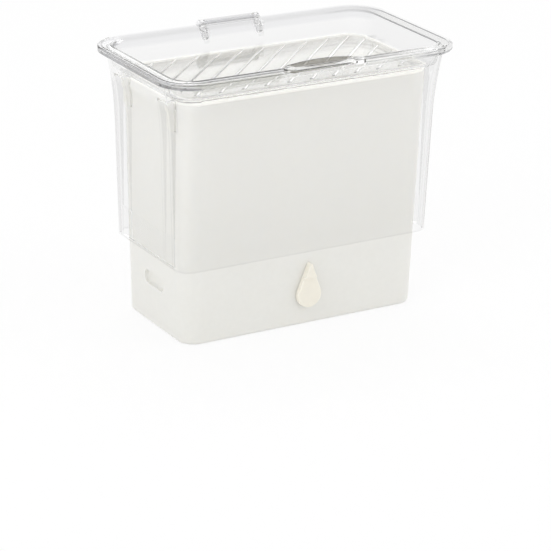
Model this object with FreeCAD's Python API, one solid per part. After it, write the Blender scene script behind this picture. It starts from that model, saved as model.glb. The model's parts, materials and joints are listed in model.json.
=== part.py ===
import FreeCAD, Part
import math
import os

from FreeCAD import Vector

# Herb keeper: a tapered water tank, a clear sleeve that telescopes on it, and a hinged tray lid.
# Frame: +Z up, X along the long side, -Y is the front; the origin is the centre of the tank's foot.
# All sizes are in millimetres.

# ---- Tank -------------------------------------------------------------------------------------
tank_foot_length = 195.2
tank_foot_width = 93.8
tank_foot_corner = 12.8
tank_height = 184.0
tank_draft = 1.62          # degrees that each wall leans out
tank_wall = 2.2
tank_floor = 2.6
tank_foot_round = 2.6
tank_floor_round = 5.0
tank_lip_height = 3.2      # thicker band round the mouth, inside
tank_lip_depth = 0.8
tank_mouth_round = 0.7

# ---- Finger recesses in the tank's ends ---------------------------------------------------------
recess_width = 29.5
recess_height = 10.5
recess_depth = 3.0
recess_z = 35.8

# ---- Drain plug, a silicone drop on the tank's front --------------------------------------------
plug_x = 2.5
plug_z = 24.6              # centre of the round end
plug_radius = 9.8
plug_tip_rise = 24.6       # round end's centre to the tip
plug_tip_radius = 0.9
plug_plate = 3.5
plug_plate_gap = 0.3
plug_plate_round = 0.8
plug_tab_rise = 13.8       # round end's centre to the step where the pull tab begins
plug_tab_extra = 1.8
plug_stem_radius = 6.8
plug_stem_clearance = 0.25
plug_stem_overhang = 2.4
plug_stem_chamfer = 1.2
plug_boss_wall = 2.4
plug_boss_depth = 2.0

# ---- Sleeve -------------------------------------------------------------------------------------
sleeve_bottom = 58.5
sleeve_wall = 1.8
sleeve_corner = 9.8        # inside radius at the bottom edge
sleeve_end_clearance = 1.37   # to the tank's ends with the sleeve drawn out
sleeve_side_clearance = 0.57  # to the tank's front and back with the sleeve drawn out
sleeve_spread = 15.4       # bottom edge to rim edge, outwards
flange_reach = 6.3         # rim edge to the outside of the wall below it
flange_height = 4.6
flange_round = 1.3
flare_middle_depth = 26.7  # below the rim
flare_middle_inset = 10.0
flare_end_depth = 52.0
flare_end_inset = 12.3
rim_bead = 2.4             # width of the rim outside the lid's seat
seat_depth = 2.2

# ---- Guide pads and the channels that they run in -----------------------------------------------
pad_width = 10.8
pad_height = 22.5
pad_side_inset = 13.7      # pad's centre to the tank's side at the foot
pad_drop = 1.2             # tank's mouth to the pad's top
pad_proud = 1.25           # beyond the tank's end wall
pad_inlay = 1.0
pad_gap = 0.1
pad_round = 3.0
boss_margin = 0.6
channel_gap = 0.5          # pad to rib, each side
channel_rib = 1.2
channel_clearance = 0.3    # rib to the widest part of the tank
channel_dome = 3.0
stop_gap = 0.3

# ---- Stop plates --------------------------------------------------------------------------------
stop_thickness = 1.0
stop_lift = 1.2            # above the sleeve's bottom edge
stop_height = 22.3
stop_seat_gap = 0.05       # plate to the sleeve's wall
stop_web_thickness = 0.6
stop_web_drop = 0.8

# ---- Lid ----------------------------------------------------------------------------------------
lid_gap = 1.0              # tank's mouth to the lid's underside
lid_depth = 17.5
lid_flange = 2.0
lid_seat_gap = 0.2
lid_edge_gap = 0.5
lid_wall = 1.9
lid_wall_gap = 1.0         # lid's wall to the sleeve's wall under the flange
lid_taper = 3.0            # how far the wall leans in, top to floor
lid_floor_round = 6.0
lid_edge_round = 0.9
lid_rib_pitch = 13.1
lid_rib_width = 2.4
lid_rib_height = 0.35
lid_rib_margin = 6.0
lid_rib_angle = 45.0

# ---- Lift tab on the lid's front ----------------------------------------------------------------
tab_length = 66.0
tab_reach = 4.6            # past the rim edge
tab_thickness = 2.0
tab_gap = 0.3
tab_root = 4.5             # overlap on the lid's flange
tab_boss_radius = 4.4
tab_boss_rise = 0.8        # bosses above the tab
tab_scoop_depth = 1.1
tab_scoop_margin = 2.4     # scoop to the tab's front edge and bosses
tab_ridge = 1.5            # thickness of the arched ridge behind the scoop
tab_ridge_rise = 2.2       # ridge's middle above the tab

# ---- Hinge --------------------------------------------------------------------------------------
hinge_length = 42.0
hinge_radius = 2.9
hinge_overhang = 1.5       # axis behind the rim edge
hinge_drop = 0.4           # axis below the rim's top
hinge_pin_radius = 1.5
hinge_pin_chamfer = 0.4
hinge_head_radius = 2.3
hinge_head_length = 2.2
hinge_head_gap = 0.3
hinge_pin_clearance = 0.1
hinge_press_clearance = 0.02
hinge_notch_gap = 0.7
hinge_side_gap = 0.4
cheek_thickness = 3.2
cheek_radius = 3.1
cheek_leg = 9.0            # axis to the centre of the leg's round end, down
cheek_leg_radius = 2.0
cheek_leg_bite = 0.5       # leg's round end into the sleeve's wall

# ---- Dividers -----------------------------------------------------------------------------------
divider_spacing = 66.0
divider_thickness = 1.8
divider_top = 155.0
divider_edge_gap = 0.6
divider_slot_gap = 0.3
divider_corner = 6.0
divider_grip_width = 34.0
divider_grip_height = 12.0
divider_grip_drop = 10.0
divider_foot_gap = 0.3
divider_arch_radius = 7.0
divider_arch_pitch = 21.0
guide_depth = 2.6
guide_thickness = 1.3
guide_top = 140.0

# ---- Working values -----------------------------------------------------------------------------
overcut = 1.0              # cutting shapes run past the faces by this
same = 0.001               # lengths closer than this count as equal

# ---- Worked out from the above ------------------------------------------------------------------
lean = math.tan(math.radians(tank_draft))
rim_top = tank_height + lid_gap + lid_depth
pad_centre_y = tank_foot_width / 2 - pad_side_inset
pad_top = tank_height - pad_drop
pad_bottom = pad_top - pad_height
stop_low = sleeve_bottom + stop_lift
stop_top = stop_low + stop_height
sleeve_travel = pad_bottom - stop_gap - stop_top
raised_bottom = sleeve_bottom + sleeve_travel


def tank_half_length(z):
    return tank_foot_length / 2 + lean * z


def tank_half_width(z):
    return tank_foot_width / 2 + lean * z


sleeve_half_length = tank_half_length(raised_bottom) + sleeve_end_clearance + sleeve_wall
sleeve_half_width = tank_half_width(raised_bottom) + sleeve_side_clearance + sleeve_wall
rim_half_length = sleeve_half_length + sleeve_spread
rim_half_width = sleeve_half_width + sleeve_spread
rim_corner = sleeve_corner + sleeve_wall + sleeve_spread
flare_end_z = rim_top - flare_end_depth
sleeve_foot_z = sleeve_bottom + sleeve_wall / 2     # where the rounded bottom edge meets the wall
hinge_y = rim_half_width + hinge_overhang
hinge_z = rim_top - hinge_drop
channel_face_x = tank_half_length(tank_height) + channel_clearance
pad_seat_x = tank_half_length(pad_bottom) - pad_inlay


def sleeve_inset(z):
    """Inset of the sleeve's outside from the rim edge, on the straight wall below the flare."""
    slope = (sleeve_spread - flare_end_inset) / (flare_end_z - sleeve_foot_z)
    return sleeve_spread - slope * (z - sleeve_foot_z)


def sleeve_inner_x(z):
    return rim_half_length - sleeve_inset(z) - sleeve_wall


# ---- Shape helpers ------------------------------------------------------------------------------
def rounded_wire(half_length, half_width, radius, z):
    """Rounded rectangle at height z."""
    x = half_length - radius
    y = half_width - radius
    k = radius * math.sqrt(0.5)
    edges = []
    corners = ((x, y, 1, 1), (-x, y, -1, 1), (-x, -y, -1, -1), (x, -y, 1, -1))
    for index, (cx, cy, sx, sy) in enumerate(corners):
        middle = Vector(cx + sx * k, cy + sy * k, z)
        if sx * sy > 0:
            start = Vector(cx + sx * radius, cy, z)
            end = Vector(cx, cy + sy * radius, z)
        else:
            start = Vector(cx, cy + sy * radius, z)
            end = Vector(cx + sx * radius, cy, z)
        edges.append(Part.Arc(start, middle, end).toShape())
        nx, ny, nsx, nsy = corners[(index + 1) % 4]
        if nsx * nsy > 0:
            following = Vector(nx + nsx * radius, ny, z)
        else:
            following = Vector(nx, ny + nsy * radius, z)
        edges.append(Part.LineSegment(end, following).toShape())
    return Part.Wire(edges)


def block(*sections):
    """Solid through rounded rectangles, each (half_length, half_width, radius, z)."""
    return Part.makeLoft([rounded_wire(*section) for section in sections], True, True)


def box(x0, x1, y0, y1, z0, z1):
    return Part.makeBox(x1 - x0, y1 - y0, z1 - z0, Vector(x0, y0, z0))


def prism(points, direction):
    """Straight prism on a flat polygon."""
    return Part.Face(Part.makePolygon(points + [points[0]])).extrude(direction)


def section_face(start, *steps):
    """Face in the plane x = 0 from (inset, z) points; a step of two points is an arc."""
    def place(point):
        return Vector(0, point[0], point[1])
    edges = []
    here = start
    for step in steps:
        if isinstance(step[0], tuple):
            edges.append(Part.Arc(place(here), place(step[0]), place(step[1])).toShape())
            here = step[1]
        else:
            edges.append(Part.LineSegment(place(here), place(step)).toShape())
            here = step
    if here != start:
        edges.append(Part.LineSegment(place(here), place(start)).toShape())
    return Part.Face(Part.Wire(edges))


def band(face, half_length, half_width, radius):
    """Sweep a wall section round a rounded rectangle: straight runs and quarter turns."""
    x = half_length - radius
    y = half_width - radius
    pieces = []
    for turn, (cx, cy) in enumerate(((x, -y), (x, y), (-x, y), (-x, -y))):
        end = face.copy()
        end.translate(Vector(0, -radius, 0))
        end.rotate(Vector(0, 0, 0), Vector(0, 0, 1), 90 * turn)
        end.translate(Vector(cx, cy, 0))
        run = 2 * (x if turn % 2 == 0 else y)
        angle = math.radians(90 * turn)
        back = Vector(-math.cos(angle) * run, -math.sin(angle) * run, 0)
        pieces.append(end.extrude(back))
        pieces.append(end.revolve(Vector(cx, cy, 0), Vector(0, 0, 1), 90))
    return pieces[0].multiFuse(pieces[1:]).removeSplitter()


def obround(width, height, depth):
    """Lying obround on the YZ plane, centred, running along +X."""
    radius = height / 2
    middle = box(0, depth, -width / 2 + radius, width / 2 - radius, -radius, radius)
    ends = [Part.makeCylinder(radius, depth, Vector(0, side * (width / 2 - radius), 0), Vector(1, 0, 0))
            for side in (-1, 1)]
    return middle.multiFuse(ends).removeSplitter()


def mirrored(shape, normal):
    return shape.mirror(Vector(0, 0, 0), normal)


def placed(shape, x, y, z):
    moved = shape.copy()
    moved.translate(Vector(x, y, z))
    return moved


def x_cylinder(radius, x0, x1, y, z):
    return Part.makeCylinder(radius, x1 - x0, Vector(x0, y, z), Vector(1, 0, 0))


def export(name, shape):
    shape.exportStep("parts/" + name + ".step")
    print(name, "solids", len(shape.Solids), "valid", shape.isValid(), "volume", round(shape.Volume, 1))


# ---- Tank ---------------------------------------------------------------------------------------
def level_edges(shape, z):
    """Edges that lie wholly at height z."""
    return [edge for edge in shape.Edges
            if abs(edge.BoundBox.ZMin - z) < same and abs(edge.BoundBox.ZMax - z) < same]


def edges_along_x(shape):
    """Edges parallel to X, which are the corners of an outline in the YZ plane."""
    return [edge for edge in shape.Edges
            if edge.BoundBox.YLength < same and edge.BoundBox.ZLength < same]


def tank_section(z, offset):
    """Rounded rectangle inside the tank's outside by the offset."""
    return (tank_half_length(z) - offset, tank_half_width(z) - offset,
            tank_foot_corner + lean * z - offset, z)


def pad_prism(side_y, margin, inner_x, proud, z0, z1):
    """Upright block on the tank's right end, its outer face leaning with the wall."""
    y0 = pad_centre_y - pad_width / 2 - margin
    y1 = pad_centre_y + pad_width / 2 + margin
    if side_y < 0:
        y0, y1 = -y1, -y0
    points = [Vector(inner_x, y0, z0), Vector(tank_half_length(z0) + proud, y0, z0),
              Vector(tank_half_length(z1) + proud, y0, z1), Vector(inner_x, y0, z1)]
    return prism(points, Vector(0, y1 - y0, 0))


def make_tank():
    outside = block(tank_section(0, 0), tank_section(tank_height, 0))
    outside = outside.makeFillet(tank_foot_round, level_edges(outside, 0))
    inside = block(tank_section(tank_floor, tank_wall), tank_section(tank_height + overcut, tank_wall))
    inside = inside.makeFillet(tank_floor_round, level_edges(inside, tank_floor))
    tank = outside.cut(inside)

    # a slightly thicker lip round the mouth, with a sloping underside
    lip_low = tank_height - tank_lip_height
    lip = block(tank_section(lip_low, tank_wall / 2), tank_section(tank_height, tank_wall / 2))
    lip_slope = block(tank_section(lip_low - tank_lip_depth, tank_wall),
                      tank_section(lip_low, tank_wall + tank_lip_depth))
    lip_mouth = block(tank_section(lip_low, tank_wall + tank_lip_depth),
                      tank_section(tank_height, tank_wall + tank_lip_depth))
    tank = tank.fuse(lip.cut(lip_slope).cut(lip_mouth)).removeSplitter()
    tank = tank.makeFillet(tank_mouth_round, level_edges(tank, tank_height))

    # bosses that carry the guide pads, filled out to the end wall's plane at the corners
    boss_inner = tank_half_length(pad_bottom) - tank_wall - boss_margin
    for side_y in (-1, 1):
        boss = pad_prism(side_y, boss_margin, boss_inner, 0.0, pad_bottom - boss_margin, pad_top)
        backing = pad_prism(side_y, boss_margin, boss_inner, -tank_wall / 2,
                            pad_bottom - boss_margin, pad_top)
        pocket = pad_prism(side_y, pad_gap, pad_seat_x, pad_proud + overcut,
                           pad_bottom - pad_gap, tank_height + overcut)
        lug = boss.fuse(backing).cut(pocket)
        for shape in (lug, mirrored(lug, Vector(1, 0, 0))):
            tank = tank.fuse(shape)
        for shape in (pocket, mirrored(pocket, Vector(1, 0, 0))):
            tank = tank.cut(shape)

    # finger recesses, each backed by a bulge on the inside of the wall
    recess_face = tank_half_length(recess_z)
    bulge = obround(recess_width + 2 * tank_wall, recess_height + 2 * tank_wall,
                    recess_depth + tank_wall / 2)
    bulge = placed(bulge, recess_face - recess_depth - tank_wall, 0, recess_z)
    recess = obround(recess_width, recess_height, recess_depth + tank_wall)
    recess = placed(recess, recess_face - recess_depth, 0, recess_z)
    deepest = [edge for edge in recess.Edges if abs(edge.BoundBox.XMax - recess.BoundBox.XMin) < same]
    recess = recess.makeFillet(recess_depth / 2, deepest)
    for flip in (False, True):
        tank = tank.fuse(mirrored(bulge, Vector(1, 0, 0)) if flip else bulge)
        tank = tank.cut(mirrored(recess, Vector(1, 0, 0)) if flip else recess)

    # drain hole with a boss round it inside
    front = -tank_half_width(plug_z)
    hole_radius = plug_stem_radius + plug_stem_clearance
    boss = Part.makeCylinder(hole_radius + plug_boss_wall, tank_wall / 2 + plug_boss_depth,
                             Vector(plug_x, front + tank_wall / 2, plug_z), Vector(0, 1, 0))
    hole = Part.makeCylinder(hole_radius, 2 * tank_wall + 2 * plug_boss_depth,
                             Vector(plug_x, front - tank_wall, plug_z), Vector(0, 1, 0))
    tank = tank.fuse(boss).cut(hole)

    # pairs of upright guides that hold the dividers
    guide_face = tank_half_width(0) - tank_wall - guide_depth
    slot = divider_thickness / 2 + divider_slot_gap
    for side_x in (-1, 1):
        for step in (-1, 1):
            x_near = side_x * divider_spacing / 2 + step * slot
            x_far = x_near + step * guide_thickness
            for side_y in (-1, 1):
                points = [Vector(min(x_near, x_far), side_y * y, z) for y, z in (
                    (guide_face, tank_floor / 2),
                    (tank_half_width(0) - tank_wall / 2, tank_floor / 2),
                    (tank_half_width(guide_top) - tank_wall / 2, guide_top),
                    (tank_half_width(guide_top) - tank_wall, guide_top),
                    (guide_face, guide_top - guide_depth - lean * guide_top))]
                tank = tank.fuse(prism(points, Vector(guide_thickness, 0, 0)))
    return tank.removeSplitter()


def make_pad(side_x, side_y):
    pad = pad_prism(side_y, 0, pad_seat_x + pad_gap, pad_proud, pad_bottom, pad_top)
    pad = pad.makeFillet(pad_round, edges_along_x(pad))
    if side_x < 0:
        pad = mirrored(pad, Vector(1, 0, 0))
    return pad


# ---- Drain plug ---------------------------------------------------------------------------------
def drop_solid(y, thickness):
    """Drop: a round end, two straight flanks and a small round tip; y is its back face."""
    tip_centre = plug_tip_rise - plug_tip_radius
    touch = math.acos((plug_radius - plug_tip_radius) / tip_centre)

    def at(rise, radius, angle):
        return Vector(plug_x + radius * math.sin(angle), y, plug_z + rise + radius * math.cos(angle))
    left_low = at(0, plug_radius, -touch)
    left_high = at(tip_centre, plug_tip_radius, -touch)
    right_high = at(tip_centre, plug_tip_radius, touch)
    right_low = at(0, plug_radius, touch)
    outline = Part.Wire([Part.Arc(right_low, at(0, plug_radius, math.pi), left_low).toShape(),
                         Part.LineSegment(left_low, left_high).toShape(),
                         Part.Arc(left_high, at(tip_centre, plug_tip_radius, 0), right_high).toShape(),
                         Part.LineSegment(right_high, right_low).toShape()])
    drop = Part.Face(outline).extrude(Vector(0, -thickness, 0))
    front = [edge for edge in drop.Edges if abs(edge.BoundBox.YMax - (y - thickness)) < same]
    return drop.makeFillet(min(plug_plate_round, plug_tip_radius - same), front)


def make_plug():
    tip_z = plug_z + plug_tip_rise
    back = -tank_half_width(tip_z) - plug_plate_gap
    plate = drop_solid(back, plug_plate)
    thick = plug_plate + plug_tab_extra
    tab = drop_solid(back, thick)
    tab = tab.common(box(plug_x - plug_radius, plug_x + plug_radius, back - thick - overcut, back,
                         plug_z + plug_tab_rise, tip_z + overcut))
    stem_start = back - plug_plate / 2
    stem_end = -tank_half_width(plug_z) + tank_wall + plug_boss_depth + plug_stem_overhang
    stem = Part.makeCylinder(plug_stem_radius, stem_end - stem_start,
                             Vector(plug_x, stem_start, plug_z), Vector(0, 1, 0))
    nose = [edge for edge in stem.Edges if abs(edge.BoundBox.YMin - stem_end) < same]
    stem = stem.makeChamfer(plug_stem_chamfer, nose)
    return plate.fuse(tab).fuse(stem).removeSplitter()


# ---- Sleeve -------------------------------------------------------------------------------------
def quarter(centre, radius, start_angle, end_angle):
    """Arc step about a centre: the middle and end points, angles in degrees."""
    def point(angle):
        a = math.radians(angle)
        return (centre[0] + radius * math.cos(a), centre[1] + radius * math.sin(a))
    return (point((start_angle + end_angle) / 2), point(end_angle))


def sleeve_section():
    inner = sleeve_wall
    under = rim_top - flange_height
    foot = sleeve_wall / 2
    r = flange_round
    flare_middle = rim_top - flare_middle_depth
    return section_face(
        (sleeve_spread, sleeve_foot_z),
        (flare_end_inset, flare_end_z),
        ((flare_middle_inset, flare_middle), (flange_reach, under - r)),
        quarter((flange_reach - r, under - r), r, 0, 90),
        (r, under),
        quarter((r, under + r), r, 270, 180),
        (0.0, rim_top - r),
        quarter((r, rim_top - r), r, 180, 90),
        (rim_bead, rim_top),
        (rim_bead, rim_top - seat_depth),
        (flange_reach + inner, rim_top - seat_depth),
        (flange_reach + inner, under - r),
        ((flare_middle_inset + inner, flare_middle), (flare_end_inset + inner, flare_end_z)),
        (sleeve_spread + inner, sleeve_foot_z),
        quarter((sleeve_spread + foot, sleeve_foot_z), foot, 0, -180),
    )


def channel_ribs():
    """Two upright ribs joined by a domed top, from above the stop plate, for the right front pad."""
    half = pad_width / 2 + channel_gap
    outer = half + channel_rib
    top = tank_height + lid_gap - channel_clearance
    dome_bottom = pad_top + stop_gap
    low = stop_top + stop_gap
    outline = box(channel_face_x, rim_half_length, -outer, outer, low, top)
    corners = [edge for edge in edges_along_x(outline) if abs(edge.BoundBox.ZMax - top) < same]
    outline = outline.makeFillet(channel_dome, corners)
    hollow = box(channel_face_x - overcut, rim_half_length + overcut, -half, half,
                 low - overcut, dome_bottom)
    corners = [edge for edge in edges_along_x(hollow) if abs(edge.BoundBox.ZMax - dome_bottom) < same]
    hollow = hollow.makeFillet(channel_dome - channel_rib, corners)
    return placed(outline.cut(hollow), 0, -pad_centre_y, 0)


def hinge_cheek():
    """Cheek that holds the pin, clear of the lid's seat, with a leg down and forwards to the wall."""
    leg_y = rim_half_width - flange_reach + cheek_leg_radius - cheek_leg_bite
    leg_z = hinge_z - cheek_leg
    x0 = hinge_length / 2 + hinge_side_gap
    x1 = x0 + cheek_thickness
    top = x_cylinder(cheek_radius, x0, x1, hinge_y, hinge_z)
    low = x_cylinder(cheek_leg_radius, x0, x1, leg_y, leg_z)
    span = math.hypot(leg_y - hinge_y, leg_z - hinge_z)
    along = math.atan2(leg_z - hinge_z, leg_y - hinge_y)
    spread = math.acos((cheek_radius - cheek_leg_radius) / span)
    points = []
    for sign in (1, -1):
        cos = math.cos(along + sign * spread)
        sin = math.sin(along + sign * spread)
        pair = [Vector(x0, hinge_y + cheek_radius * cos, hinge_z + cheek_radius * sin),
                Vector(x0, leg_y + cheek_leg_radius * cos, leg_z + cheek_leg_radius * sin)]
        points.extend(pair if sign > 0 else reversed(pair))
    cheek = top.fuse(low).fuse(prism(points, Vector(cheek_thickness, 0, 0)))
    seat = box(x0, x1, leg_y - cheek_leg_radius, rim_half_width - rim_bead,
               rim_top - seat_depth, rim_top + cheek_radius)
    return cheek.cut(seat)


def make_sleeve():
    shell = band(sleeve_section(), rim_half_length, rim_half_width, rim_corner)
    # the channels' ribs end inside the wall: they are kept to a ring from the middle of the wall inwards
    half_wall = sleeve_wall / 2
    ring_top = rim_top - flange_height - flange_round
    ring_depth = rim_half_length - channel_face_x + half_wall
    ring = band(section_face(
        (sleeve_spread + half_wall, sleeve_foot_z),
        (flare_end_inset + half_wall, flare_end_z),
        ((flare_middle_inset + half_wall, rim_top - flare_middle_depth),
         (flange_reach + half_wall, ring_top)),
        (ring_depth, ring_top),
        (ring_depth, sleeve_foot_z)), rim_half_length, rim_half_width, rim_corner)
    ribs = channel_ribs()
    ribs = ribs.fuse(mirrored(ribs, Vector(0, 1, 0)))
    ribs = ribs.common(ring)
    sleeve = shell.fuse(ribs).fuse(mirrored(ribs, Vector(1, 0, 0)))

    notch_half = hinge_length / 2 + hinge_side_gap
    notch = x_cylinder(hinge_radius + hinge_notch_gap, -notch_half, notch_half, hinge_y, hinge_z)
    over = box(-notch_half, notch_half, rim_half_width - rim_bead - overcut,
               hinge_y + hinge_radius, rim_top - seat_depth, rim_top + hinge_radius)
    pin_end = notch_half + cheek_thickness
    head_room = x_cylinder(hinge_head_radius + hinge_head_gap,
                           -pin_end - hinge_head_length - hinge_head_gap, -pin_end, hinge_y, hinge_z)
    sleeve = sleeve.cut(notch.fuse(over)).cut(head_room)
    cheek = hinge_cheek()
    sleeve = sleeve.fuse(cheek).fuse(mirrored(cheek, Vector(1, 0, 0)))
    bore = x_cylinder(hinge_pin_radius + hinge_press_clearance, -hinge_length, hinge_length,
                      hinge_y, hinge_z)
    return sleeve.cut(bore).removeSplitter()


def make_stop_plate(side_x):
    """Plate inside the sleeve's bottom edge; its two thick ends stop against the guide pads."""
    half = pad_centre_y + pad_width / 2
    inner = pad_centre_y - pad_width / 2 - channel_gap
    low_x = sleeve_inner_x(stop_low) - stop_seat_gap
    top_x = sleeve_inner_x(stop_top) - stop_seat_gap

    def leaning(y0, y1, near, far, top):
        points = [Vector(low_x - far, y0, stop_low), Vector(top_x - far, y0, stop_top),
                  Vector(top_x - near, y0, stop_top), Vector(low_x - near, y0, stop_low)]
        slab = prism(points, Vector(0, y1 - y0, 0))
        return slab.common(box(0, rim_half_length, y0, y1, stop_low, top))
    plate = leaning(-half, half, 0, stop_thickness, stop_top)
    plate = plate.cut(leaning(-inner, inner, -overcut, stop_thickness + overcut, stop_top))
    plate = plate.fuse(leaning(-inner, inner, 0, stop_web_thickness, stop_top - stop_web_drop))
    if side_x < 0:
        plate = mirrored(plate, Vector(1, 0, 0))
    return plate.removeSplitter()


# ---- Lid ----------------------------------------------------------------------------------------
lid_edge_inset = rim_bead + lid_edge_gap
lid_wall_inset = flange_reach + sleeve_wall + lid_wall_gap
lid_under = tank_height + lid_gap
lid_flange_low = rim_top - seat_depth + lid_seat_gap
lid_flange_high = lid_flange_low + lid_flange


def lid_section(inset, z):
    return (rim_half_length - inset, rim_half_width - inset, rim_corner - inset, z)


def make_lid():
    floor_inset = lid_wall_inset + lid_taper
    tray = block(lid_section(floor_inset, lid_under), lid_section(lid_wall_inset, lid_flange_high))
    tray = tray.makeFillet(lid_floor_round, level_edges(tray, lid_under))
    hollow_floor = lid_under + lid_wall
    hollow = block(lid_section(floor_inset + lid_wall, hollow_floor),
                   lid_section(lid_wall_inset + lid_wall, lid_flange_high))
    hollow = hollow.makeFillet(lid_floor_round - lid_wall / 2, level_edges(hollow, hollow_floor))
    flange = block(lid_section(lid_edge_inset, lid_flange_low),
                   lid_section(lid_edge_inset, lid_flange_high))
    lid = flange.fuse(tray).cut(hollow).removeSplitter()
    lid = lid.makeFillet(lid_edge_round, level_edges(lid, lid_flange_high))

    # slanting, round-backed ribs on the flat part of the floor
    margin = floor_inset + lid_wall + lid_floor_round + lid_rib_margin
    field_x = rim_half_length - margin
    field_y = rim_half_width - margin
    field = box(-field_x, field_x, -field_y, field_y, hollow_floor - lid_wall / 2,
                hollow_floor + lid_rib_height)
    rib_radius = (lid_rib_width ** 2 / 4 + lid_rib_height ** 2) / (2 * lid_rib_height)
    rib_axis_z = hollow_floor + lid_rib_height - rib_radius
    reach = field_x + field_y
    count = int(reach / lid_rib_pitch) + 1
    for index in range(-count, count):
        rib = x_cylinder(rib_radius, -reach, reach, (index + 0.5) * lid_rib_pitch, rib_axis_z)
        rib.rotate(Vector(0, 0, 0), Vector(0, 0, 1), lid_rib_angle)
        rib = rib.common(field)
        if rib.Solids:
            lid = lid.fuse(rib)

    # lift tab over the front rim: a plate between two round bosses, with a lens-shaped scoop in it
    # and an arched ridge behind the scoop
    tab_low = rim_top + tab_gap
    tab_high = tab_low + tab_thickness
    front_y = -(rim_half_width + tab_reach)
    root_y = -(rim_half_width - lid_edge_inset - tab_root)
    flange_y = -(rim_half_width - lid_edge_inset)
    boss_x = tab_length / 2 - tab_boss_radius
    boss_y = front_y + tab_boss_radius
    tab = box(-boss_x, boss_x, front_y, root_y, tab_low, tab_high)
    foot = box(-boss_x, boss_x, flange_y, root_y, lid_flange_high - lid_flange / 2, tab_low)
    bosses = [Part.makeCylinder(tab_boss_radius, tab_thickness + tab_boss_rise,
                                Vector(side * boss_x, boss_y, tab_low)) for side in (-1, 1)]
    tab = tab.multiFuse([foot] + bosses)
    scoop_half = boss_x - tab_boss_radius + tab_scoop_margin
    scoop_sag = abs(front_y - root_y) - tab_scoop_margin
    scoop_radius = (scoop_half ** 2 + scoop_sag ** 2) / (2 * scoop_sag)
    scoop_y = front_y + tab_scoop_margin + scoop_radius
    scoop = Part.makeCylinder(scoop_radius, tab_scoop_depth + overcut,
                              Vector(0, scoop_y, tab_high - tab_scoop_depth))
    arch_radius = (boss_x ** 2 + tab_ridge_rise ** 2) / (2 * tab_ridge_rise)
    arch = Part.makeCylinder(arch_radius, tab_ridge,
                             Vector(0, root_y - tab_ridge, tab_high + tab_ridge_rise - arch_radius),
                             Vector(0, 1, 0))
    arch = arch.common(box(-boss_x, boss_x, root_y - tab_ridge, root_y,
                           tab_low, tab_high + tab_ridge_rise))
    tab = tab.cut(scoop).fuse(arch).removeSplitter()
    lid = lid.fuse(tab)

    # hinge knuckle and the web that joins it to the flange
    knuckle = x_cylinder(hinge_radius, -hinge_length / 2, hinge_length / 2, hinge_y, hinge_z)
    web = box(-hinge_length / 2, hinge_length / 2, rim_half_width - lid_wall_inset,
              hinge_y, lid_flange_low, lid_flange_high)
    lid = lid.fuse(knuckle).fuse(web)
    bore = x_cylinder(hinge_pin_radius + hinge_pin_clearance, -hinge_length, hinge_length,
                      hinge_y, hinge_z)
    return lid.cut(bore).removeSplitter()


def make_hinge_pin():
    half = hinge_length / 2 + hinge_side_gap + cheek_thickness
    pin = x_cylinder(hinge_pin_radius, -half, half, hinge_y, hinge_z)
    end = [edge for edge in pin.Edges if edge.BoundBox.XMin > half - same]
    pin = pin.makeChamfer(hinge_pin_chamfer, end)
    head = x_cylinder(hinge_head_radius, -half - hinge_head_length, -half, hinge_y, hinge_z)
    outer = [edge for edge in head.Edges if edge.BoundBox.XMax < same - half - hinge_head_length]
    return pin.fuse(head.makeFillet(hinge_head_length / 2, outer)).removeSplitter()


# ---- Dividers -----------------------------------------------------------------------------------
def make_divider(side_x):
    x = side_x * divider_spacing / 2
    low = tank_floor + divider_foot_gap

    def half_at(z):
        return tank_half_width(z) - tank_wall - divider_edge_gap
    left = x - divider_thickness / 2
    chamfer = tank_floor_round
    points = [Vector(left, -half_at(low) + chamfer, low), Vector(left, half_at(low) - chamfer, low),
              Vector(left, half_at(low + chamfer), low + chamfer),
              Vector(left, half_at(divider_top), divider_top),
              Vector(left, -half_at(divider_top), divider_top),
              Vector(left, -half_at(low + chamfer), low + chamfer)]
    plate = prism(points, Vector(divider_thickness, 0, 0))
    corners = [edge for edge in edges_along_x(plate) if edge.BoundBox.ZMax > divider_top - same]
    plate = plate.makeFillet(divider_corner, corners)
    grip = obround(divider_grip_width, divider_grip_height, 2 * divider_thickness)
    plate = plate.cut(placed(grip, left - divider_thickness / 2, 0,
                             divider_top - divider_grip_drop - divider_grip_height / 2))
    for step in (-1, 0, 1):
        arch = x_cylinder(divider_arch_radius, left - overcut, left + divider_thickness + overcut,
                          step * divider_arch_pitch, low)
        plate = plate.cut(arch)
    return plate


os.makedirs("parts", exist_ok=True)
export("tank", make_tank())
export("drain_plug", make_plug())
for end, side_x in (("left", -1), ("right", 1)):
    for face, side_y in (("front", -1), ("back", 1)):
        export("guide_pad_" + face + "_" + end, make_pad(side_x, side_y))
    export("stop_plate_" + end, make_stop_plate(side_x))
    export("divider_" + end, make_divider(side_x))
export("clear_sleeve", make_sleeve())
export("lid", make_lid())
export("hinge_pin", make_hinge_pin())
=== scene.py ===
import json
import math

import bpy
from mathutils import Matrix, Vector


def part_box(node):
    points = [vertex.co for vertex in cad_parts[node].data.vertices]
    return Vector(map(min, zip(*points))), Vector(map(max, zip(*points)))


# The herb keeper's looks: a camera, a white studio and one procedural plastic for each kind of piece.
# Every CAD piece is shown as it is. Lengths are in metres.
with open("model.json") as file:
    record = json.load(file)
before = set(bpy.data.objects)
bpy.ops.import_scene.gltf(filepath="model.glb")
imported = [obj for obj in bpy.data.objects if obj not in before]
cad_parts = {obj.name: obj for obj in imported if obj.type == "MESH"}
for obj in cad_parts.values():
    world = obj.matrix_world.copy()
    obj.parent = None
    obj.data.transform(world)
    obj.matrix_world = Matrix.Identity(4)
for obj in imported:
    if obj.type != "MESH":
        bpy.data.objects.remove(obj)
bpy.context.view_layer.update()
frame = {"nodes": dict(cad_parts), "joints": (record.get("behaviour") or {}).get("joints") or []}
nodes = frame["nodes"]

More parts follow.
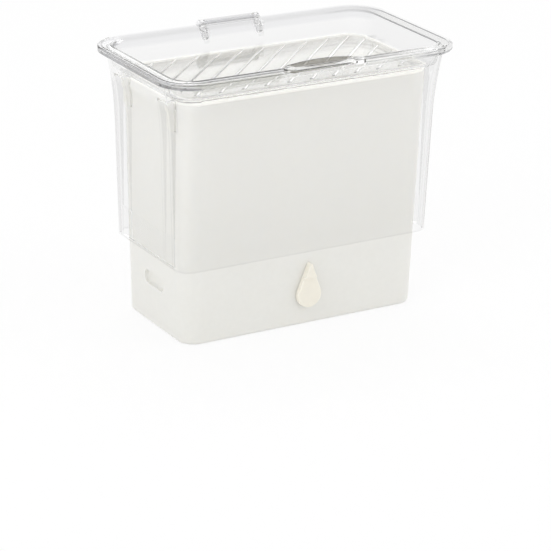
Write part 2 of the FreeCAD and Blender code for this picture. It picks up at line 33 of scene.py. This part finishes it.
# ---- Camera ---------------------------------------------------------------------------------------
VIEW_AZIMUTH = -30.595               # degrees, as are the next two
VIEW_ELEVATION = 21.099
VIEW_ROLL = 1.192
VIEW_TARGET = Vector((-0.015357, -0.032225, 0.036098))
VIEW_DISTANCE = 1.90126
LENS_MM = 169.70
SENSOR_MM = 36.0

# ---- Studio ---------------------------------------------------------------------------------------
# Direct rays are camera, mirrored and refracted rays that have met no matt surface. They see the floor
# partly as plain white. Camera rays see a white world, and the other direct rays see it with a dark
# card at the back left and a softbox at the back right. All the rest see AMBIENT.
WHITE = (1, 1, 1, 1)
AMBIENT = 0.90
CARD_GREY = 0.10
CARD_EDGES = (                       # axis of the world direction, (value where the card starts, is full)
    ("X", (0.32, 0.12)),
    ("Y", (0.35, 0.60)),
    ("Z", (0.14, 0.24)),
    ("Z", (0.80, 0.65)),
)
BOX_PLACE = Vector((0.475, 0.803, 0.36))
BOX_EDGE = (0.955, 0.98)             # cosine of the angle from the softbox's middle
BOX_POWER = 1.55
FLOOR_HALF = 6.0
FLOOR_DROP = 0.0002                  # below the tank's foot
FLOOR_COLOUR = (0.92, 0.92, 0.92, 1)
FLOOR_GLOW = 0.82                    # share of plain white in what direct rays see
AIM_LOW = (0, 0, 0.1)
AIM_HIGH = (0, 0, 0.15)
LAMPS = (                            # name, place, aim, (width, height), watts
    ("key", (-2.0, -0.9, 1.5), AIM_LOW, (1.2, 1.2), 10),
    ("fill", (1.8, -1.2, 1.2), AIM_LOW, (1.2, 1.2), 6),
    ("top", (0.3, 0.9, 2.0), AIM_HIGH, (1.4, 0.6), 4),
)
CLEAR_BOUNCES = 64                   # a ray crosses many clear walls before it leaves the object
GLOSSY_BOUNCES = 32

# ---- Edges of the CAD pieces that the zones below follow --------------------------------------------
tank_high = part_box("tank")[1]
sleeve_low, sleeve_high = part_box("clear_sleeve")
pad_low, pad_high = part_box("guide_pad_back_right")
hinge = Vector(next(joint["pos_m"] for joint in frame["joints"] if joint["name"] == "lid_hinge"))
HINGE_DROP = 0.0004                  # axis below the top of the rim
TAB_HALF = 0.033                     # half of the lift tab's length
SCOOP_RADIUS = 0.04165
SCOOP_MARGIN = 0.0024                # front of the lift tab to its scoop
TANK_TOP = tank_high.z
TANK_END = tank_high.x
SLEEVE_FOOT = sleeve_low.z
RIM_END = sleeve_high.x              # from the middle, as is the next
RIM_SIDE = -sleeve_low.y
RIM_TOP = hinge.z + HINGE_DROP
PIN_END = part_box("hinge_pin")[1].x   # flush with the outside of the hinge's cheek
TAB_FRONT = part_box("lid")[0].y
SCOOP_AXIS = (0.0, TAB_FRONT + SCOOP_MARGIN + SCOOP_RADIUS, 0.0)

# ---- Zones: products of (coordinate, low, high, soft edge); FAR is no limit ---------------------------
# "side" is the distance to the middle plane of the length, "across" to that of the width, and "scoop"
# to the upright axis of the scoop in the lift tab.
FAR = 1.0

# Parts of the sleeve and the lid: the back of both but for the left corner, the right end of both, the
# sleeve below the middle of its flare, the front of the flare, the hinge, the lift tab and its scoop
BACK = (("y", RIM_SIDE - 0.0105, FAR, 0.040), ("x", 0.030 - RIM_END, FAR, 0.025))
RIGHT_RIM = (("x", RIM_END - 0.016, FAR, 0.020),)
WALLS = (("z", -FAR, RIM_TOP - 0.0265, 0.010),)
MOUTH = (("y", -FAR, 0.0235 - RIM_SIDE, 0.005), ("z", RIM_TOP - 0.0285, FAR, 0.022),
         ("z", -FAR, RIM_TOP - 0.0135, 0.004), ("side", -FAR, RIM_END - 0.027, 0.004))
CHEEKS = (("side", PIN_END - 0.0038, PIN_END + 0.0007, 0.0001), ("y", RIM_SIDE - 0.0085, FAR, 0.0001),
          ("z", RIM_TOP - 0.0132, FAR, 0.0004))
KNUCKLE = (("side", -FAR, PIN_END - 0.0035, 0.0002), ("y", hinge.y - 0.00283, FAR, 0.0002))
TAB = (("y", -FAR, 0.0085 - RIM_SIDE, 0.002), ("z", RIM_TOP - 0.0009, FAR, 0.0006))
# SCOOP also carries painted shade: the shadowed inside of the tank, as seen through the scoop
SCOOP = (("scoop", -FAR, SCOOP_RADIUS - 0.00005, 0.0002), ("y", -FAR, TAB_FRONT + 0.0123, 0.0003),
         ("z", RIM_TOP + 0.0007, FAR, 0.0001))

# Painted shade on the sleeve and the lid: darker colours in thin zones draw the dark lines and grey bands
# that refraction shows at their edges. RIGHT_EDGE and LID_EDGE keep off the level faces, where they
# would show as broad bands.
BACK_RIM = (("y", RIM_SIDE - 0.0235, FAR, 0.002), ("z", RIM_TOP - 0.0065, FAR, 0.002))
FRONT_RIM = (("x", 0.020 - RIM_END, -TAB_HALF - 0.001, 0.002), ("y", -FAR, 0.0085 - RIM_SIDE, 0.002),
             ("z", RIM_TOP - 0.0070, FAR, 0.002))
LEFT_RIM = (("x", -FAR, 0.020 - RIM_END, 0.006), ("z", RIM_TOP - 0.0047, RIM_TOP - 0.0027, 0.0003))
RIGHT_EDGE = (("x", RIM_END - 0.030, FAR, 0.020), ("y", -FAR, RIM_SIDE - 0.0385, 0.045),
              ("z", RIM_TOP - 0.0035, RIM_TOP - 0.0024, 0.0001))
LID_EDGE = (("x", RIM_END - 0.030, FAR, 0.020), ("y", -FAR, RIM_SIDE - 0.0385, 0.045),
            ("z", RIM_TOP - 0.0017, RIM_TOP - 0.0007, 0.0001))
LOW_EDGE = (("z", -FAR, SLEEVE_FOOT + 0.0009, 0.0003),)

# Painted shade lines on the ribs in the sleeve's ends, beside the guide pads
RIBS = (("side", RIM_END - 0.027, FAR, 0.001), ("z", -FAR, TANK_TOP, 0.001),
        ("across", pad_high.y + 0.0004, pad_high.y + 0.0018, 0.0002))
INNER_RIBS = (("side", RIM_END - 0.027, FAR, 0.001), ("z", -FAR, TANK_TOP, 0.001),
              ("across", pad_low.y - 0.0018, pad_low.y - 0.0004, 0.0002))

# Parts of the tank
TANK_MOUTH = (("z", TANK_TOP - 0.0018, FAR, 0.0007),)
TANK_ENDS = (("side", TANK_END - 0.0048, FAR, 0.006), ("z", SLEEVE_FOOT + 0.0035, FAR, 0.004))
TANK_FOOT = (("z", -FAR, 0.020, 0.130),)

# ---- Clear plastic: (zone, index of refraction) and (zone, painted shade colour); later zones cover earlier ----
SOLID_INDEX = 1.49
PLATE_INDEX = 1.06
SLEEVE_BENDS = (
    (RIGHT_RIM, 1.03),
    (BACK, 1.012),
    (WALLS, 1.04),
    (MOUTH, 1.05),
    (CHEEKS, SOLID_INDEX),
)
# Painted shade on the sleeve: darker colours in thin zones draw its refraction lines and grey bands
SLEEVE_PAINTED_SHADES = (
    (BACK_RIM, (0.955, 0.955, 0.96)),
    (FRONT_RIM, (0.82, 0.82, 0.80)),
    (LEFT_RIM, (0.45, 0.45, 0.47)),
    (RIGHT_EDGE, (0.40, 0.40, 0.41)),
    (RIBS, (0.88, 0.88, 0.88)),
    (INNER_RIBS, (0.93, 0.93, 0.93)),
    (CHEEKS, (0.90, 0.90, 0.90)),
    (LOW_EDGE, (0.93, 0.93, 0.93)),
)
LID_BENDS = (
    (RIGHT_RIM, 1.03),
    (BACK, 1.012),
    (TAB, 1.2),
    (KNUCKLE, 1.06),
)
# Painted shade on the lid: darker colours in thin zones draw its refraction lines and the scoop's dark
# patch
LID_PAINTED_SHADES = (
    (BACK_RIM, (0.955, 0.955, 0.96)),
    (KNUCKLE, (0.85, 0.85, 0.855)),
    (LID_EDGE, (0.48, 0.48, 0.49)),
    # painted shade in the lift tab's scoop: the shadowed tank inside seen through it
    (SCOOP, (0.42, 0.41, 0.385)),
)
CLEAR_COLOUR = (0.99, 0.99, 0.99, 1)
GLANCING = (0.80, 1.0)               # Layer Weight's Facing where the painted shade at glancing angles starts, is full
# Painted shade: the clear plastic's colour darkened at glancing angles
GLANCING_PAINTED_SHADE = (0.88, 0.88, 0.88, 1)
ABSORB_COLOUR = (0.61, 0.61, 0.60, 1)
ABSORB_DENSITY = 35.0                # per metre of plastic
HAZE_SCALE = 30.0
HAZE_DETAIL = 4.0
HAZE_ROUGHNESS = 0.03                # where the haze is at its most

# ---- Matt plastic and silicone ----------------------------------------------------------------------
TANK_COLOUR = (0.79, 0.785, 0.757)
TANK_GLOW = 0.06                     # painted glow, for light that comes through the tank's walls
# Painted light on the tank: a stronger glow on its ends and a painted highlight on the mouth's top edge
TANK_GLOWS = ((TANK_ENDS, 0.10), (TANK_MOUTH, 0.30))
# Painted shade: the tank's colour darker towards its foot
TANK_PAINTED_SHADE = ((TANK_FOOT, (0.95, 0.95, 0.94)),)
DIVIDER_COLOUR = (0.88, 0.88, 0.86)
PIN_COLOUR = (0.80, 0.80, 0.81)
PAD_COLOUR = (0.88, 0.87, 0.82)
PLUG_COLOUR = (0.78, 0.75, 0.668)
GRAIN_SCALE = 260.0
GRAIN_DETAIL = 3.0
GRAIN_STRENGTH = 0.2
GRAIN_DEPTH = 0.0002
GRAIN_DARK = 0.97                    # share of the plastic's colour, as is the next
GRAIN_LIGHT = 1.02
SCATTER_RADIUS = (1.0, 0.95, 0.85)   # red, green and blue, times SCATTER_SCALE
SCATTER_SCALE = 0.004


# ---- Node trees -------------------------------------------------------------------------------------
def new_material(name):
    material = bpy.data.materials.new(name)
    material.use_nodes = True
    tree = material.node_tree
    tree.nodes.clear()
    return material, tree


def add(tree, kind, **values):
    """New node; a value goes to the input of that name or, if there is none, to the node itself."""
    node = tree.nodes.new(kind)
    for key, value in values.items():
        if key in node.inputs:
            node.inputs[key].default_value = value
        else:
            setattr(node, key, value)
    return node


def put(tree, socket, value):
    """Link another node's output to the socket, or set a constant on it."""
    if isinstance(value, bpy.types.NodeSocket):
        tree.links.new(value, socket)
    else:
        socket.default_value = value


def fade(tree, value, span):
    """0 at the span's first number, 1 at its second."""
    step = add(tree, "ShaderNodeMapRange", interpolation_type="SMOOTHSTEP")
    step.inputs["From Min"].default_value = span[0]
    step.inputs["From Max"].default_value = span[1]
    tree.links.new(value, step.inputs["Value"])
    return step.outputs[0]


def times(tree, first, second):
    product = add(tree, "ShaderNodeMath", operation="MULTIPLY")
    put(tree, product.inputs[0], first)
    put(tree, product.inputs[1], second)
    return product.outputs[0]


def blend(tree, mask, first, second, kind="RGBA", how="MIX"):
    """First where the mask is 0, second where it is 1."""
    mix = add(tree, "ShaderNodeMix", data_type=kind, blend_type=how)
    slots = [slot for slot in mix.inputs if slot.enabled]
    for slot, value in zip(slots, (mask, first, second)):
        put(tree, slot, value)
    return [slot for slot in mix.outputs if slot.enabled][0]


def coordinates(tree):
    """The coordinates that zones use, and the piece's own coordinates as one vector."""
    link = tree.links.new
    place = add(tree, "ShaderNodeTexCoord")
    split = add(tree, "ShaderNodeSeparateXYZ")
    side = add(tree, "ShaderNodeMath", operation="ABSOLUTE")
    across = add(tree, "ShaderNodeMath", operation="ABSOLUTE")
    flat = add(tree, "ShaderNodeCombineXYZ")
    scoop = add(tree, "ShaderNodeVectorMath", operation="DISTANCE")
    link(place.outputs["Object"], split.inputs[0])
    link(split.outputs["X"], side.inputs[0])
    link(split.outputs["Y"], across.inputs[0])
    link(split.outputs["X"], flat.inputs["X"])
    link(split.outputs["Y"], flat.inputs["Y"])
    link(flat.outputs[0], scoop.inputs[0])
    scoop.inputs[1].default_value = SCOOP_AXIS
    return {"object": place.outputs["Object"], "x": split.outputs["X"], "y": split.outputs["Y"],
            "z": split.outputs["Z"], "side": side.outputs[0], "across": across.outputs[0],
            "scoop": scoop.outputs["Value"]}


def inside(tree, at, zone):
    """1 in the zone, 0 outside its soft edge."""
    mask = 1.0
    for name, low, high, edge in zone:
        if low > -FAR:
            mask = times(tree, mask, fade(tree, at[name], (low - edge, low)))
        if high < FAR:
            mask = times(tree, mask, fade(tree, at[name], (high + edge, high)))
    return mask


def ray_masks(tree):
    """1 for direct rays, else 0, and 1 for camera rays, else 0."""
    path = add(tree, "ShaderNodeLightPath")
    first = add(tree, "ShaderNodeMath", operation="MAXIMUM")
    second = add(tree, "ShaderNodeMath", operation="MAXIMUM")
    fresh = add(tree, "ShaderNodeMath", operation="LESS_THAN")
    fresh.inputs[1].default_value = 0.5
    link = tree.links.new
    link(path.outputs["Is Camera Ray"], first.inputs[0])
    link(path.outputs["Is Glossy Ray"], first.inputs[1])
    link(first.outputs[0], second.inputs[0])
    link(path.outputs["Is Transmission Ray"], second.inputs[1])
    link(path.outputs["Diffuse Depth"], fresh.inputs[0])
    return times(tree, second.outputs[0], fresh.outputs[0]), path.outputs["Is Camera Ray"]


# ---- Camera and studio ------------------------------------------------------------------------------
def make_camera():
    azimuth = math.radians(VIEW_AZIMUTH)
    elevation = math.radians(VIEW_ELEVATION)
    roll = math.radians(VIEW_ROLL)
    back = Vector((math.sin(azimuth) * math.cos(elevation),
                   -math.cos(azimuth) * math.cos(elevation), math.sin(elevation)))
    level = Vector((math.cos(azimuth), math.sin(azimuth), 0.0))
    upright = back.cross(level)
    right = level * math.cos(roll) + upright * math.sin(roll)
    up = upright * math.cos(roll) - level * math.sin(roll)
    data = bpy.data.cameras.new("camera")
    data.lens = LENS_MM
    data.sensor_width = SENSOR_MM
    camera = bpy.data.objects.new("camera", data)
    bpy.context.scene.collection.objects.link(camera)
    turn = Matrix((right, up, back)).transposed().to_4x4()
    camera.matrix_world = Matrix.Translation(VIEW_TARGET + back * VIEW_DISTANCE) @ turn
    bpy.context.scene.camera = camera


def make_world():
    world = bpy.data.worlds.new("studio")
    bpy.context.scene.world = world
    world.use_nodes = True
    tree = world.node_tree
    tree.nodes.clear()
    link = tree.links.new
    direct, camera_ray = ray_masks(tree)
    place = add(tree, "ShaderNodeTexCoord")
    split = add(tree, "ShaderNodeSeparateXYZ")
    link(place.outputs["Generated"], split.inputs[0])
    card = 1.0
    for axis, span in CARD_EDGES:
        card = times(tree, card, fade(tree, split.outputs[axis], span))
    facing = add(tree, "ShaderNodeVectorMath", operation="DOT_PRODUCT")
    facing.inputs[1].default_value = BOX_PLACE.normalized()
    link(place.outputs["Generated"], facing.inputs[0])
    softbox = fade(tree, facing.outputs["Value"], BOX_EDGE)
    around = blend(tree, card, 1.0, CARD_GREY, "FLOAT")
    around = blend(tree, softbox, around, BOX_POWER, "FLOAT")
    around = blend(tree, camera_ray, around, 1.0, "FLOAT")
    power = blend(tree, direct, AMBIENT, around, "FLOAT")
    sky = add(tree, "ShaderNodeBackground", Color=WHITE)
    link(power, sky.inputs["Strength"])
    output = add(tree, "ShaderNodeOutputWorld")
    link(sky.outputs[0], output.inputs["Surface"])


def area_light(name, place, aim, size, power):
    data = bpy.data.lights.new(name, "AREA")
    data.shape = "RECTANGLE"
    data.size, data.size_y = size
    data.energy = power
    lamp = bpy.data.objects.new(name, data)
    bpy.context.scene.collection.objects.link(lamp)
    lamp.location = place
    lamp.rotation_euler = (Vector(place) - Vector(aim)).to_track_quat("Z", "Y").to_euler()


def make_floor():
    mesh = bpy.data.meshes.new("floor")
    half = FLOOR_HALF
    corners = [(-half, -half, 0), (half, -half, 0), (half, half, 0), (-half, half, 0)]
    mesh.from_pydata(corners, [], [(0, 1, 2, 3)])
    floor = bpy.data.objects.new("floor", mesh)
    floor.location.z = -FLOOR_DROP
    bpy.context.scene.collection.objects.link(floor)
    material, tree = new_material("floor")
    link = tree.links.new
    direct, _ = ray_masks(tree)
    matt = add(tree, "ShaderNodeBsdfDiffuse", Color=FLOOR_COLOUR)
    glow = add(tree, "ShaderNodeEmission", Color=WHITE, Strength=1.0)
    mix = add(tree, "ShaderNodeMixShader")
    output = add(tree, "ShaderNodeOutputMaterial")
    link(times(tree, direct, FLOOR_GLOW), mix.inputs["Fac"])
    link(matt.outputs[0], mix.inputs[1])
    link(glow.outputs[0], mix.inputs[2])
    link(mix.outputs[0], output.inputs["Surface"])
    mesh.materials.append(material)


# ---- Plastics ---------------------------------------------------------------------------------------
def clear_plastic(name, index=SOLID_INDEX, bends=(), painted_shades=(), density=ABSORB_DENSITY):
    """Clear plastic with a light haze. Bends are (zone, index of refraction), painted shade (zone,
    colour).
    """
    material, tree = new_material(name)
    link = tree.links.new
    at = coordinates(tree)
    colour = CLEAR_COLOUR
    for zone, value in bends:
        index = blend(tree, inside(tree, at, zone), index, value, "FLOAT")
    # painted shade: zone colours that draw refraction lines and dark patches on the clear plastic
    for zone, value in painted_shades:
        colour = blend(tree, inside(tree, at, zone), colour, value + (1,))
    # painted shade at glancing angles
    edge = add(tree, "ShaderNodeLayerWeight", Blend=0.5)
    glancing = fade(tree, edge.outputs["Facing"], GLANCING)
    colour = blend(tree, glancing, colour, GLANCING_PAINTED_SHADE, "RGBA", "MULTIPLY")
    shader = add(tree, "ShaderNodeBsdfPrincipled")
    shader.inputs["Transmission Weight"].default_value = 1.0
    put(tree, shader.inputs["IOR"], index)
    put(tree, shader.inputs["Base Color"], colour)
    haze = add(tree, "ShaderNodeTexNoise", Scale=HAZE_SCALE, Detail=HAZE_DETAIL)
    spread = add(tree, "ShaderNodeMapRange")
    spread.inputs["To Max"].default_value = HAZE_ROUGHNESS
    link(at["object"], haze.inputs["Vector"])
    link(haze.outputs["Fac"], spread.inputs["Value"])
    link(spread.outputs[0], shader.inputs["Roughness"])
    absorb = add(tree, "ShaderNodeVolumeAbsorption", Color=ABSORB_COLOUR, Density=density)
    output = add(tree, "ShaderNodeOutputMaterial")
    link(shader.outputs[0], output.inputs["Surface"])
    link(absorb.outputs[0], output.inputs["Volume"])
    return material


def matt_plastic(name, colour, roughness, scatter, glow, glows=(), shades=()):
    """Matt plastic with a fine grain. Glows are painted light (zone, strength), shades painted shade
    (zone, share of the colour).
    """
    material, tree = new_material(name)
    link = tree.links.new
    at = coordinates(tree)
    noise = add(tree, "ShaderNodeTexNoise", Scale=GRAIN_SCALE, Detail=GRAIN_DETAIL)
    bump = add(tree, "ShaderNodeBump", Strength=GRAIN_STRENGTH, Distance=GRAIN_DEPTH)
    ramp = add(tree, "ShaderNodeValToRGB")
    for element, share in zip(ramp.color_ramp.elements, (GRAIN_DARK, GRAIN_LIGHT)):
        element.color = tuple(min(1.0, share * channel) for channel in colour) + (1,)
    link(at["object"], noise.inputs["Vector"])
    link(noise.outputs["Fac"], bump.inputs["Height"])
    link(noise.outputs["Fac"], ramp.inputs["Fac"])
    shade = ramp.outputs["Color"]
    # painted shade by zone
    for zone, share in shades:
        shade = blend(tree, inside(tree, at, zone), shade, share + (1,), "RGBA", "MULTIPLY")
    # painted glow by zone
    for zone, strength in glows:
        glow = blend(tree, inside(tree, at, zone), glow, strength, "FLOAT")
    shader = add(tree, "ShaderNodeBsdfPrincipled")
    shader.inputs["Roughness"].default_value = roughness
    shader.inputs["Subsurface Weight"].default_value = scatter
    shader.inputs["Subsurface Radius"].default_value = SCATTER_RADIUS
    shader.inputs["Subsurface Scale"].default_value = SCATTER_SCALE
    shader.inputs["Emission Color"].default_value = colour + (1,)
    put(tree, shader.inputs["Emission Strength"], glow)
    put(tree, shader.inputs["Base Color"], shade)
    link(bump.outputs[0], shader.inputs["Normal"])
    output = add(tree, "ShaderNodeOutputMaterial")
    link(shader.outputs[0], output.inputs["Surface"])
    return material


def dress(start, material):
    """Give the material to every piece whose name begins with start."""
    for name, piece in nodes.items():
        if name.startswith(start):
            piece.data.materials.clear()
            piece.data.materials.append(material)


make_camera()
make_world()
make_floor()
for lamp in LAMPS:
    area_light(*lamp)

dress("clear_sleeve", clear_plastic("sleeve_plastic", bends=SLEEVE_BENDS, painted_shades=SLEEVE_PAINTED_SHADES))
dress("lid", clear_plastic("lid_plastic", bends=LID_BENDS, painted_shades=LID_PAINTED_SHADES))
dress("stop_plate", clear_plastic("stop_plastic", index=PLATE_INDEX, density=0.0))
# Each glow below is painted light: emission that lifts the piece's shade
dress("hinge_pin", matt_plastic("pin_plastic", PIN_COLOUR, roughness=0.3, scatter=0.0, glow=0.1))
dress("tank", matt_plastic("tank_plastic", TANK_COLOUR, roughness=0.38, scatter=0.35, glow=TANK_GLOW,
                           glows=TANK_GLOWS, shades=TANK_PAINTED_SHADE))
dress("divider", matt_plastic("divider_plastic", DIVIDER_COLOUR, roughness=0.35, scatter=0.2,
                              glow=TANK_GLOW))
dress("guide_pad", matt_plastic("pad_silicone", PAD_COLOUR, roughness=0.55, scatter=0.3, glow=0.06))
dress("drain_plug", matt_plastic("silicone", PLUG_COLOUR, roughness=0.55, scatter=0.3, glow=0.10))

bpy.context.scene.view_settings.view_transform = "Standard"
cycles = bpy.context.scene.cycles
cycles.blur_glossy = 0.0
cycles.max_bounces = CLEAR_BOUNCES
cycles.transmission_bounces = CLEAR_BOUNCES
cycles.glossy_bounces = GLOSSY_BOUNCES
